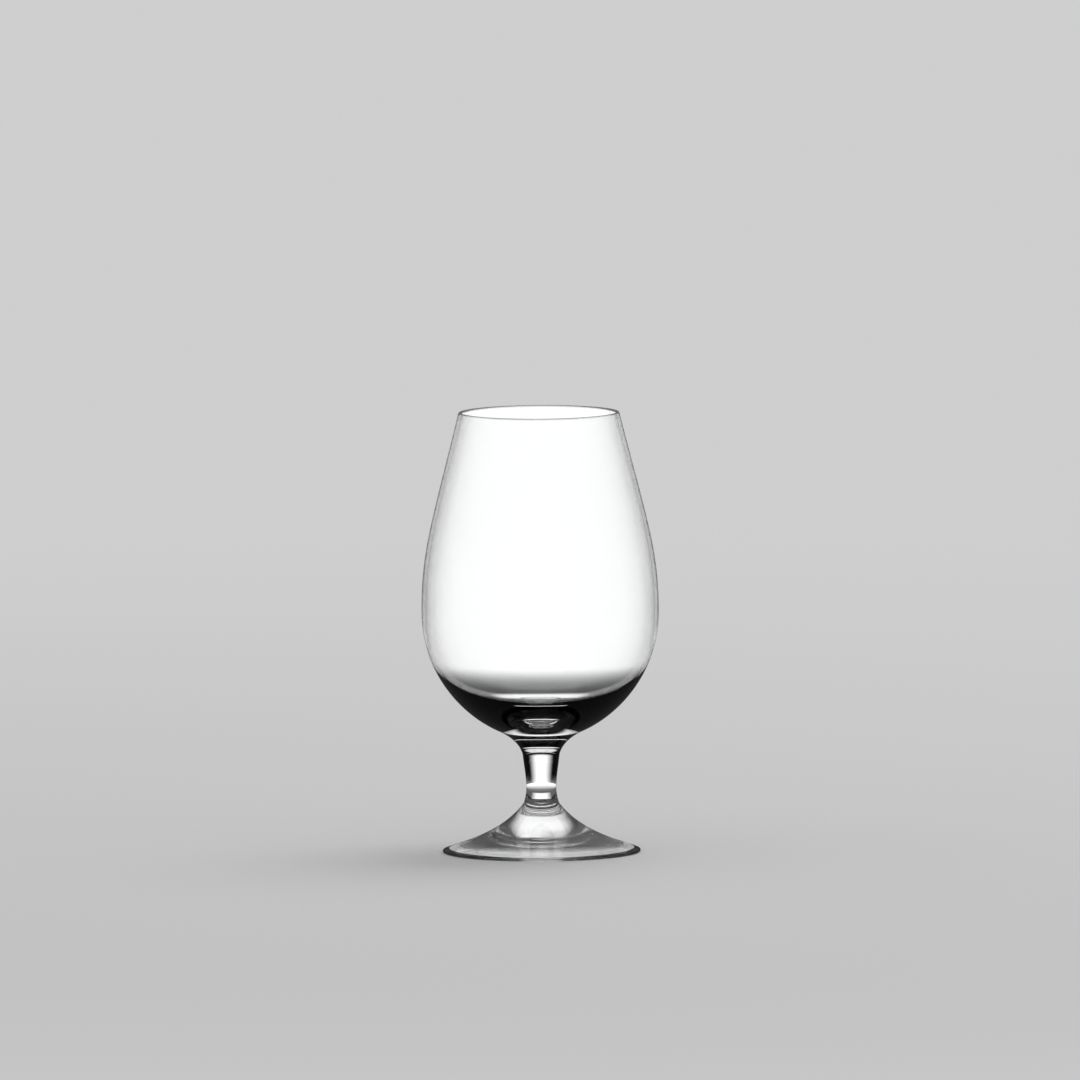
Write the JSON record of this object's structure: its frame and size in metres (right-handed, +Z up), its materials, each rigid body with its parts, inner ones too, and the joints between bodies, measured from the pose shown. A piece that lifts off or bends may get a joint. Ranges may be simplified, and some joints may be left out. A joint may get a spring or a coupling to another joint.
{
  "type": "whisky nosing glass",
  "caption": "Stemmed tulip glass for nosing spirits: wide belly, narrower mouth, thick solid base, short waisted stem and a low conical foot.",
  "frame": {"origin": "centre of the foot's standing circle, on the table", "axes": "+Z up the glass's axis towards the mouth; the glass is round, so X and Y are any two level directions"},
  "size_m": [0.0724, 0.0724, 0.135],
  "materials": {
    "clear_glass": "fire-polished, clear and colourless"
  },
  "bodies": {
    "root": {"bowl": "clear_glass", "stem": "clear_glass", "foot": "clear_glass"}
  },
  "joints": []
}
